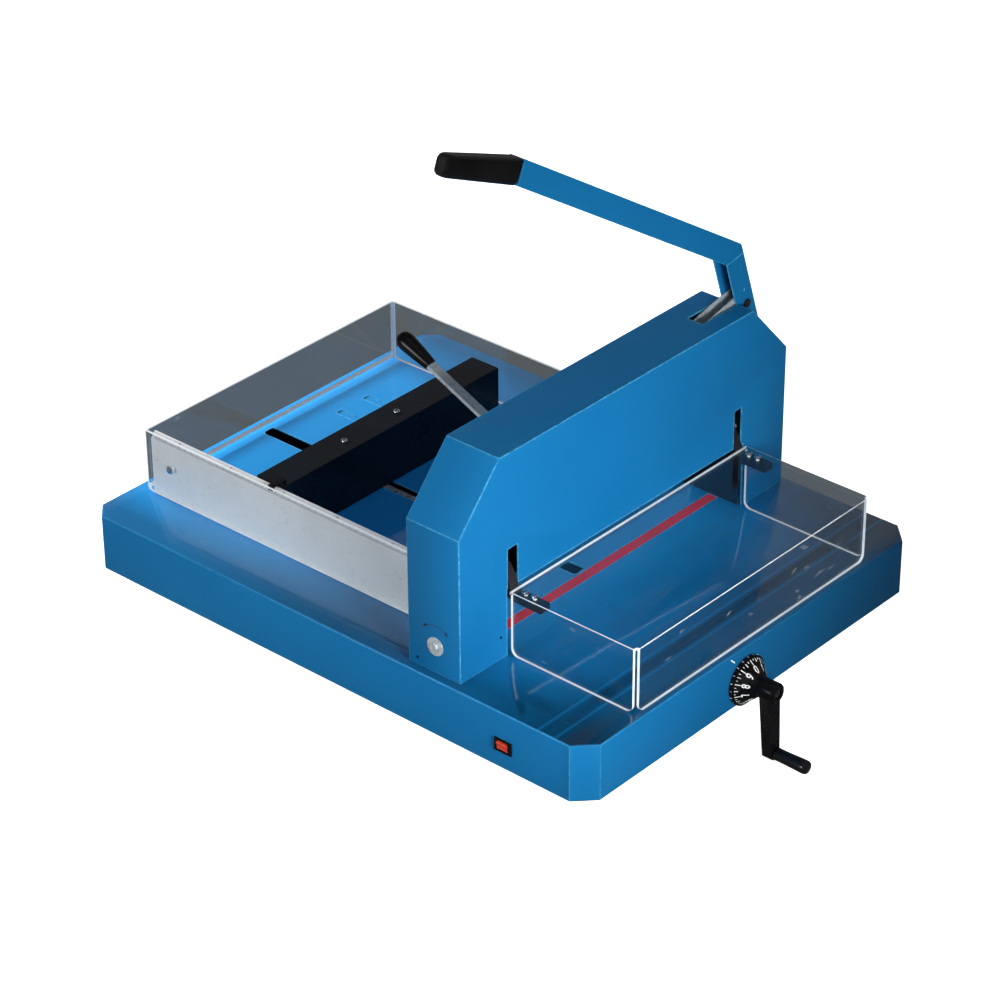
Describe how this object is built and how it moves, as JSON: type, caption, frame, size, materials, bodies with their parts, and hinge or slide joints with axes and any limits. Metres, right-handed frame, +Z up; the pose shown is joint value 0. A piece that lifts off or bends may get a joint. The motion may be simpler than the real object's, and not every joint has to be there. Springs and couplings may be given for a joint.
{
  "type": "guillotine paper cutter",
  "caption": "Stack paper cutter with a bridge head, swinging knife lever, clamp lever, crank-driven back gauge and hinged clear front guard.",
  "frame": {"origin": "centre of the flat underside of the bottom plate", "axes": "+Z up, -Y towards the operator (crank side), +X to the operator's right"},
  "size_m": [0.7055, 1.002, 0.8898],
  "materials": {
    "blue_paint": "semi-gloss",
    "black_paint": "satin",
    "grey_steel": "satin",
    "zinc_steel": "bright zinc plated",
    "polished_steel": "polished",
    "chrome": "polished",
    "black_plastic": "satin",
    "red_plastic": "satin",
    "white_paint": "satin",
    "scale_strip": "satin",
    "clear_acrylic": "clear polished",
    "rubber": "matte",
    "brass": "machined"
  },
  "bodies": {
    "frame": {"base_housing": "blue_paint", "bottom_plate": "grey_steel", "foot_front_left": "rubber", "foot_front_right": "rubber", "foot_rear_left": "rubber", "foot_rear_right": "rubber", "head_cover": "blue_paint", "side_frame_left": "black_paint", "side_frame_right": "black_paint", "guide_beam": "grey_steel", "rear_beam": "grey_steel", "lever_pedestal": "grey_steel", "cutting_stick": "red_plastic", "light_bar": "white_paint", "lead_screw_bearing_front": "grey_steel", "lead_screw_bearing_rear": "grey_steel", "clamp_bearing_left": "grey_steel", "clamp_bearing_right": "grey_steel", "guard_hinge_pin_left": "zinc_steel", "guard_hinge_pin_right": "zinc_steel", "side_rail_left": "white_paint", "ruler_strip": "scale_strip", "rear_guard": "clear_acrylic", "guard_knob": "chrome", "index_mark": "white_paint", "switch_bezel": "black_plastic"},
    "cutting_lever": {"lever_arm": "blue_paint", "lever_grip": "black_plastic", "link_pin": "zinc_steel"},
    "drive_link": {"drive_link": "zinc_steel"},
    "knife_carriage": {"knife_carrier": "grey_steel", "knife_blade": "polished_steel", "knife_bolt_1": "zinc_steel", "knife_bolt_2": "zinc_steel"},
    "clamp_lever": {"clamp_shaft": "zinc_steel", "clamp_lever_bar": "grey_steel", "clamp_lever_grip": "black_plastic"},
    "clamp_bar": {"clamp_bar": "polished_steel"},
    "front_guard": {"front_guard_lid": "clear_acrylic", "guard_bracket_left": "black_paint", "guard_bracket_right": "black_paint", "guard_screw_left_1": "chrome", "guard_screw_left_2": "chrome", "guard_screw_right_1": "chrome", "guard_screw_right_2": "chrome"},
    "crank": {"lead_screw": "zinc_steel", "crank_dial": "black_plastic", "crank_arm": "black_plastic", "crank_pin": "chrome"},
    "crank_grip": {"crank_grip": "black_plastic"},
    "back_gauge": {"gauge_fence": "black_paint", "gauge_nut": "brass", "gauge_tongue": "zinc_steel", "gauge_pointer": "black_plastic", "gauge_screw_1": "chrome", "gauge_screw_2": "chrome"},
    "power_rocker": {"switch_rocker": "red_plastic"},
    "depth_adjuster": {"depth_disc": "zinc_steel", "depth_bolt": "zinc_steel"}
  },
  "joints": [
    {"name": "cutting_lever_swing", "type": "hinge", "parent": "frame", "child": "cutting_lever", "pos_m": [0.293, -0.1875, 0.338], "axis": [0, 1, 0], "range_deg": [0, 70]},
    {"name": "drive_link_swing", "type": "hinge", "parent": "cutting_lever", "child": "drive_link", "pos_m": [0.282, -0.1875, 0.385], "axis": [0, 1, 0], "range_deg": [-92.5, 0.5]},
    {"name": "knife_slide", "type": "slide", "parent": "frame", "child": "knife_carriage", "axis": [0.6769, 0, -0.7361], "range_m": [0, 0.1143], "stiffness_N_per_m": 60, "springref_m": -0.33},
    {"name": "clamp_lever_swing", "type": "hinge", "parent": "frame", "child": "clamp_lever", "pos_m": [-0.07, -0.152, 0.247], "axis": [1, 0, 0], "range_deg": [-25, 57]},
    {"name": "clamp_bar_slide", "type": "slide", "parent": "frame", "child": "clamp_bar", "axis": [0, 0, 1], "range_m": [-0.0243, 0.0553], "stiffness_N_per_m": 160, "springref_m": 0.305},
    {"name": "front_guard_hinge", "type": "hinge", "parent": "frame", "child": "front_guard", "pos_m": [0, -0.213, 0.213], "axis": [-1, 0, 0], "range_deg": [0, 75]},
    {"name": "crank_turn", "type": "hinge", "parent": "frame", "child": "crank", "pos_m": [-0.026, -0.45, 0.037], "axis": [0, 1, 0], "range_deg": [-10260, 6660]},
    {"name": "crank_grip_spin", "type": "hinge", "parent": "crank", "child": "crank_grip", "pos_m": [-0.018, -0.499, -0.0635], "axis": [0, 1, 0], "continuous": true},
    {"name": "back_gauge_slide", "type": "slide", "parent": "frame", "child": "back_gauge", "axis": [0, 1, 0], "range_m": [-0.2851, 0.1851]},
    {"name": "power_rocker_press", "type": "hinge", "parent": "frame", "child": "power_rocker", "pos_m": [-0.349, -0.3125, 0.039], "axis": [0, 1, 0], "range_deg": [0, 10]},
    {"name": "depth_adjuster_turn", "type": "hinge", "parent": "frame", "child": "depth_adjuster", "pos_m": [-0.339, -0.187, 0.131], "axis": [-1, 0, 0], "range_deg": [-90, 90]}
  ],
  "couplings": [
    {"joint": "drive_link_swing", "follows": "cutting_lever_swing", "ratio": -1.3129},
    {"joint": "knife_slide", "follows": "cutting_lever_swing", "m_per_rad": 0.093405},
    {"joint": "clamp_bar_slide", "follows": "clamp_lever_swing", "m_per_rad": 0.0554},
    {"joint": "back_gauge_slide", "follows": "crank_turn", "m_per_rad": 0.0015915}
  ]
}
